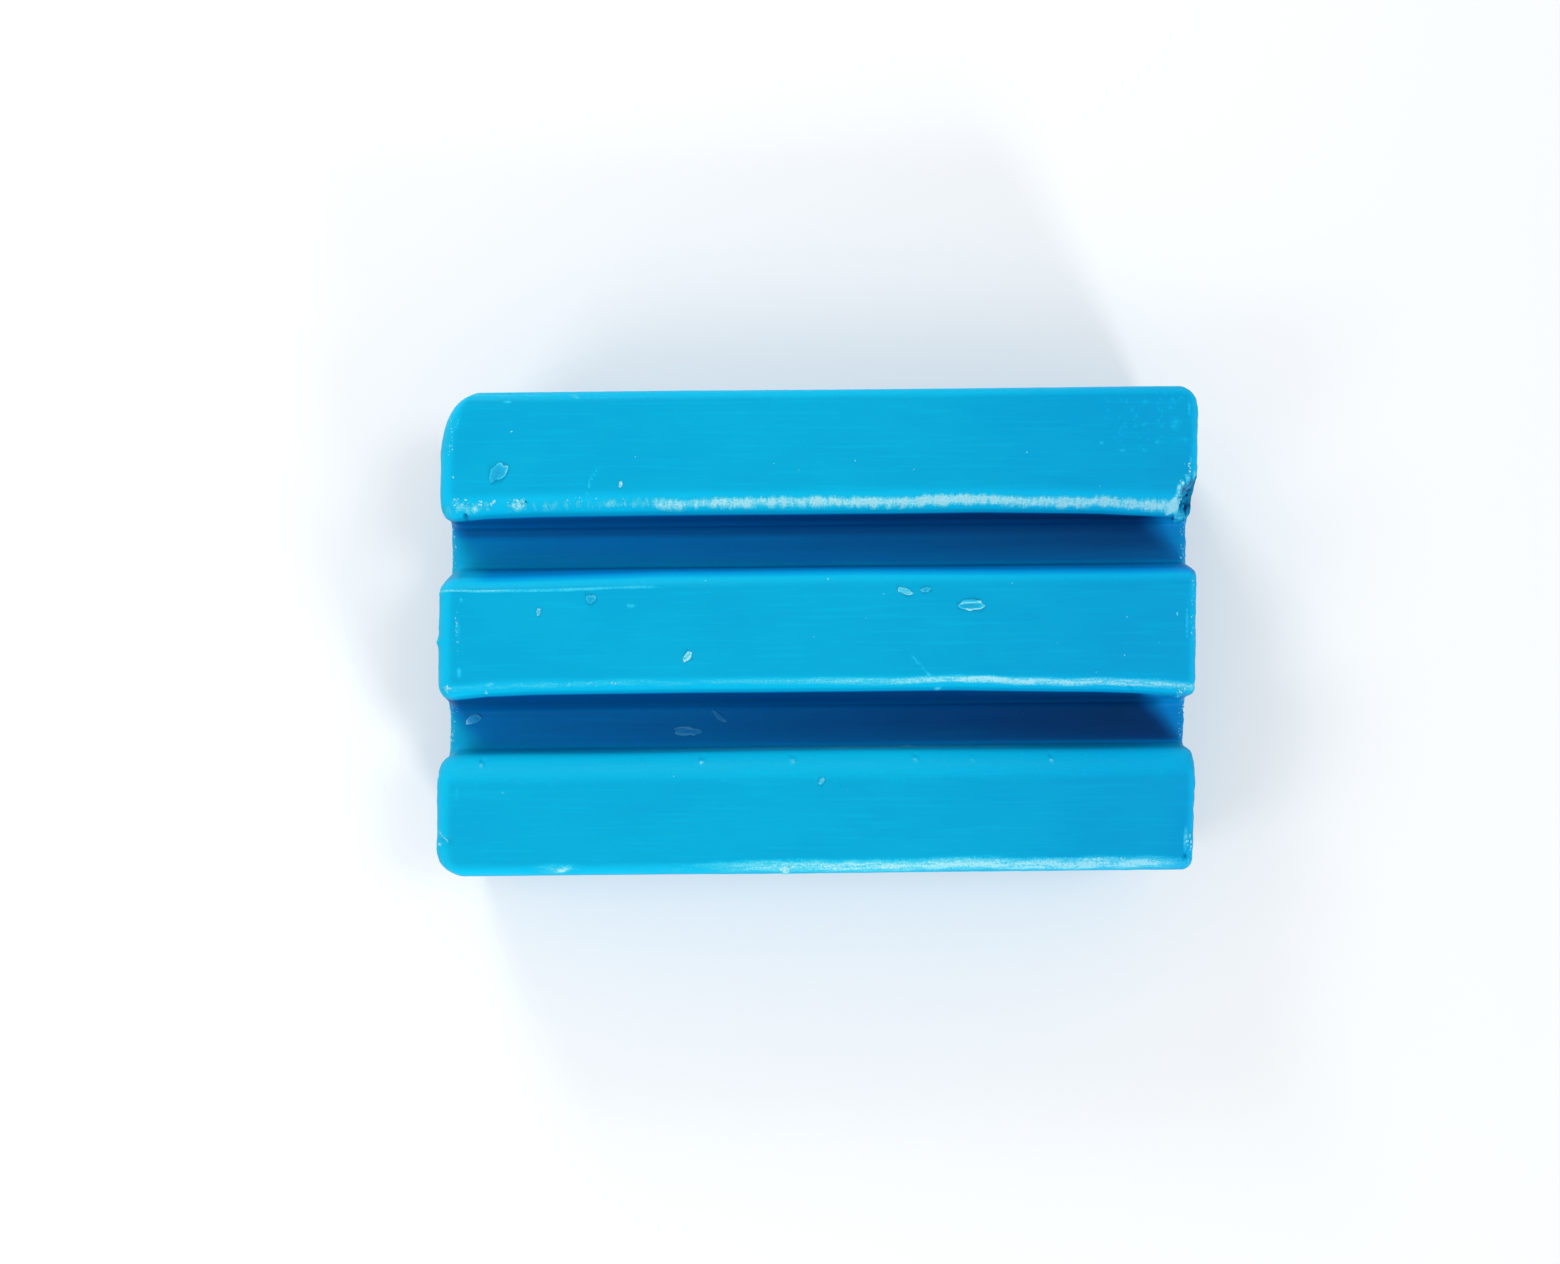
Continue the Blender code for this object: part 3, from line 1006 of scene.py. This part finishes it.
def make_blue_wax():
    """The block's wax: even and softly glossy, and pale, dull and scratched where worn, with painted
    highlights on the roundings beside the ribs' tops and painted shade in the grooves, in the small
    pits and towards the right end.
    """
    g = Graph("blue_wax")
    clouds = g.noise((0.12, 0.25, 0.25), 3)
    grain = g.noise((5.5, 5.5, 5.5), 4, 0.65)
    drags = g.noise((0.12, 3.2, 3.2), 3)
    teeth = g.noise((2.1, 0.45, 0.45), 3, 0.6)
    streaks = g.noise((0.45, 4.0, 4.0), 3)
    spots = g.noise((2.3, 2.3, 2.3), 2)

    pale = g.math("MULTIPLY", g.attribute("pale"), g.ramp(grain, 0.36, 0.62, 0.65, 1.15))
    pale = g.math("MULTIPLY", pale, g.ramp(streaks, 0.38, 0.6, 0.75, 1.15))
    comb = g.math("ADD", g.attribute("comb"), g.ramp(teeth, 0.35, 0.65, -0.42, 0.12))
    comb = g.math("MULTIPLY", comb, g.ramp(g.attribute("comb"), 0.02, 0.15))
    comb = g.math("MULTIPLY", comb, g.ramp(grain, 0.36, 0.6, 0.8, 1.15), clamp=True)
    worn = g.math("ADD", pale, comb, clamp=True)

    base = g.mix(g.ramp(clouds, 0.35, 0.65), BLUE, GREENER_BLUE)
    speckle = g.math("MULTIPLY", g.attribute("speckled"), g.ramp(spots, 0.58, 0.7))
    base = g.mix(g.math("MULTIPLY", speckle, 0.6), base, MOTTLE_AND_HIGHLIGHT_BLUE)
    # Painted highlight on the roundings beside the ribs' tops
    base = g.mix(g.attribute("edge"), base, MOTTLE_AND_HIGHLIGHT_BLUE)
    base = g.mix(g.ramp(drags, 0.5, 0.72, 0.0, 0.22), base, MOTTLE_AND_HIGHLIGHT_BLUE)
    # Dark blue in the torn hollow, and painted shade in the small pits
    torn = g.math("MULTIPLY", g.attribute("torn"), g.ramp(spots, 0.35, 0.6, 1.0, 0.4))
    base = g.mix(torn, base, TORN_AND_PIT_SHADE_BLUE)
    colour = g.mix(g.ramp(worn, 0.02, 0.3), base, g.colours(worn, WORN_STOPS))
    # Painted shade: the colour is multiplied by a darker tint where the shade attribute is set
    tint = g.colours(g.attribute("shade"), SHADE_TINTS)
    g.put(g.shader.inputs["Base Color"], g.mix(1.0, colour, tint, "MULTIPLY"))

    dull = g.ramp(worn, 0.0, 0.6, 0.43, 0.78)
    g.put(g.shader.inputs["Roughness"], g.math("ADD", dull, g.ramp(clouds, 0.3, 0.7, -0.05, 0.05)))
    g.shader.inputs["Specular IOR Level"].default_value = 0.035
    normal = g.bump(g.math("MULTIPLY", grain, g.ramp(worn, 0, 0.6, 0.25, 1.0)), 0.05)
    normal = g.bump(drags, 0.02, normal)
    normal = g.bump(comb, 0.06, normal)
    g.tree.links.new(normal, g.shader.inputs["Normal"])
    return g.material


def make_pale_wax():
    """The loose bits: dull, and paler at their thin rims, with painted shade where they lie in the
    grooves.
    """
    g = Graph("pale_wax")
    grain = g.noise((4.5, 4.5, 4.5), 4, 0.65)
    streaks = g.noise((0.9, 5.0, 5.0), 3)
    pale = g.math("MULTIPLY", g.attribute("pale"), g.ramp(grain, 0.36, 0.62, 0.6, 1.2))
    pale = g.math("ADD", pale, g.ramp(streaks, 0.5, 0.7, 0.0, 0.1), clamp=True)
    # Painted shade where the bits lie in the grooves
    tint = g.colours(g.attribute("shade"), SHADE_TINTS)
    g.put(g.shader.inputs["Base Color"], g.mix(1.0, g.colours(pale, WORN_STOPS), tint, "MULTIPLY"))
    g.put(g.shader.inputs["Roughness"], g.ramp(grain, 0.3, 0.7, 0.6, 0.8))
    g.shader.inputs["Specular IOR Level"].default_value = 0.2
    g.tree.links.new(g.bump(grain, 0.04), g.shader.inputs["Normal"])
    return g.material


# ---------------------------------------------------------------- floor, lights, camera

SENSOR_WIDTH = 36
LENS = 31.0026
VIEW_DISTANCE = 112.8  # mm from the lens to the ribs' tops
VIEW_FOOT = (0.2, -10.65)  # the point straight below the lens, in mm
VIEW_ROLL = -0.0097  # radians
VIEW_SHIFT = (-0.0256, 0.0801)

# Name, the level way the light travels, height angle, size and distance in m, strength
LIGHTS = (
    ("front_right_light", (-0.47, 0.88), 24, 0.11, 0.6, 0.43),
    ("back_left_light", (0.41, -0.91), 29, 0.07, 0.25, 0.38),
    ("right_light", (-1.0, -0.08), 58, 0.16, 0.6, 0.17),
    ("front_left_light", (0.82, 0.56), 42, 0.07, 0.2, 0.2),
)
SKY = (0.955, 0.975, 1, 1)
SKY_STRENGTH = 0.7
PAPER = (0.79, 0.8, 0.81, 1)
PAPER_SIZE = 3  # m


def add_camera():
    camera = bpy.data.cameras.new("camera")
    camera.sensor_width = SENSOR_WIDTH
    camera.lens = LENS
    camera.shift_x, camera.shift_y = VIEW_SHIFT
    camera.clip_start = 0.005
    obj = bpy.data.objects.new("camera", camera)
    bpy.context.scene.collection.objects.link(obj)
    obj.location = Vector((*VIEW_FOOT, HEIGHT + VIEW_DISTANCE)) * MM
    obj.rotation_euler = (0, 0, VIEW_ROLL)
    bpy.context.scene.camera = obj


def add_light(name, towards, elevation, size, distance, strength):
    """A square light that shines the given way. Strength is its light on a surface that
    faces it, as a share of what a sky of brightness 1 gives."""
    across = Vector((*towards, 0)).normalized()
    travel = across * math.cos(math.radians(elevation))
    travel.z = -math.sin(math.radians(elevation))
    light = bpy.data.lights.new(name, "AREA")
    light.shape = "SQUARE"
    light.size = size
    light.energy = strength * (math.pi * distance) ** 2
    obj = bpy.data.objects.new(name, light)
    bpy.context.scene.collection.objects.link(obj)
    obj.location = -travel * distance
    obj.rotation_euler = travel.to_track_quat("-Z", "Y").to_euler()


def add_stage():
    bpy.ops.mesh.primitive_plane_add(size=PAPER_SIZE)
    floor = bpy.context.object
    floor.name = "floor"
    material = bpy.data.materials.new("paper")
    material.use_nodes = True
    shader = material.node_tree.nodes["Principled BSDF"]
    shader.inputs["Base Color"].default_value = PAPER
    shader.inputs["Roughness"].default_value = 0.9
    shader.inputs["Specular IOR Level"].default_value = 0.1
    floor.data.materials.append(material)

    world = bpy.data.worlds.new("studio")
    world.use_nodes = True
    background = world.node_tree.nodes["Background"]
    background.inputs["Color"].default_value = SKY
    background.inputs["Strength"].default_value = SKY_STRENGTH
    bpy.context.scene.world = world
    for row in LIGHTS:
        add_light(*row)
    bpy.context.scene.view_settings.view_transform = "Standard"


def build():
    blue_wax, pale_wax = make_blue_wax(), make_pale_wax()
    points, faces = make_block(blue_wax)
    tree = BVHTree.FromPolygons(points.tolist(), faces)
    rng = random.Random(SEED)
    for row in FLAKES:
        make_flake(tree, row, pale_wax, rng)
    make_crumbs(tree, pale_wax, rng)
    add_stage()
    add_camera()
    bpy.context.view_layer.update()


build()
